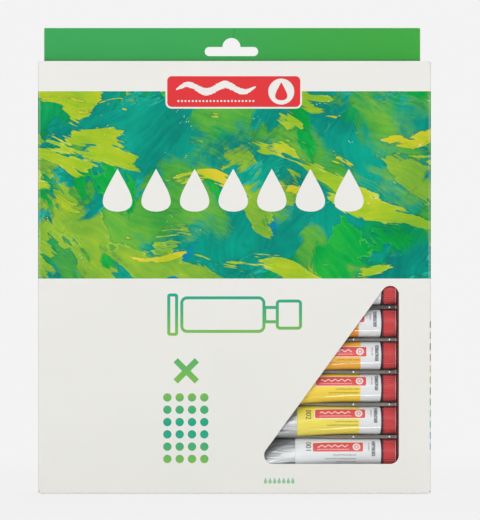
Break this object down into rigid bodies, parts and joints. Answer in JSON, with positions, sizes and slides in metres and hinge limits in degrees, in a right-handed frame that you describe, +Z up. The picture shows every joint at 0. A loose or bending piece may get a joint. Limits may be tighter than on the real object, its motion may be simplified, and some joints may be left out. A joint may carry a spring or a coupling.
{
  "type": "gouache paint set box",
  "caption": "Flat upright board carton with a hang header and a triangular window onto two columns of capped paint tubes in a clear tray; the top closes with a tuck lid and dust flaps.",
  "frame": {"origin": "middle of the base, on the surface that the box stands on", "axes": "+Z up along the height, +X to the right seen from the front, +Y to the back; the window is in the -Y face"},
  "size_m": [0.22, 0.02, 0.2611],
  "materials": {
    "printed_board": "satin",
    "header_board": "satin",
    "clear_film": "gloss",
    "clear_tray": "gloss",
    "tube": "satin",
    "cap": "satin"
  },
  "bodies": {
    "box": {"carton_wrap": "printed_board", "header_front_layer": "header_board", "bottom_outer_panel": "printed_board", "bottom_inner_panel": "printed_board", "bottom_flap_left": "printed_board", "bottom_flap_right": "printed_board", "window_film": "clear_film", "tray": "clear_tray", "tube_left_01": "tube", "tube_left_02": "tube", "tube_left_03": "tube", "tube_left_04": "tube", "tube_left_05": "tube", "tube_left_06": "tube", "tube_left_07": "tube", "tube_left_08": "tube", "tube_left_09": "tube", "tube_left_10": "tube", "tube_left_11": "tube", "tube_left_12": "tube", "tube_right_01": "tube", "tube_right_02": "tube", "tube_right_03": "tube", "tube_right_04": "tube", "tube_right_05": "tube", "tube_right_06": "tube", "tube_right_07": "tube", "tube_right_08": "tube", "tube_right_09": "tube", "tube_right_10": "tube", "tube_right_11": "tube", "tube_right_12": "tube", "cap_left_01": "cap", "cap_left_02": "cap", "cap_left_03": "cap", "cap_left_04": "cap", "cap_left_05": "cap", "cap_left_06": "cap", "cap_left_07": "cap", "cap_left_08": "cap", "cap_left_09": "cap", "cap_left_10": "cap", "cap_left_11": "cap", "cap_left_12": "cap", "cap_right_01": "cap", "cap_right_02": "cap", "cap_right_03": "cap", "cap_right_04": "cap", "cap_right_05": "cap", "cap_right_06": "cap", "cap_right_07": "cap", "cap_right_08": "cap", "cap_right_09": "cap", "cap_right_10": "cap", "cap_right_11": "cap", "cap_right_12": "cap"},
    "lid": {"lid_panel": "printed_board"},
    "tuck": {"lid_tuck": "printed_board"},
    "flap_left": {"dust_flap_left": "printed_board"},
    "flap_right": {"dust_flap_right": "printed_board"}
  },
  "joints": [
    {"name": "lid_fold", "type": "hinge", "parent": "box", "child": "lid", "pos_m": [0, -0.00975, 0.24225], "axis": [1, 0, 0], "range_deg": [0, 180]},
    {"name": "tuck_fold", "type": "hinge", "parent": "lid", "child": "tuck", "pos_m": [0, 0.00785, 0.24225], "axis": [1, 0, 0], "range_deg": [-54, 0]},
    {"name": "flap_left_fold", "type": "hinge", "parent": "box", "child": "flap_left", "pos_m": [-0.10975, 0, 0.24165], "axis": [0, -1, 0], "range_deg": [0, 90]},
    {"name": "flap_right_fold", "type": "hinge", "parent": "box", "child": "flap_right", "pos_m": [0.10975, 0, 0.24165], "axis": [0, 1, 0], "range_deg": [0, 90]}
  ],
  "couplings": [
    {"joint": "tuck_fold", "follows": "lid_fold", "ratio": -0.3},
    {"joint": "flap_left_fold", "follows": "lid_fold", "ratio": 0.5},
    {"joint": "flap_right_fold", "follows": "lid_fold", "ratio": 0.5}
  ]
}
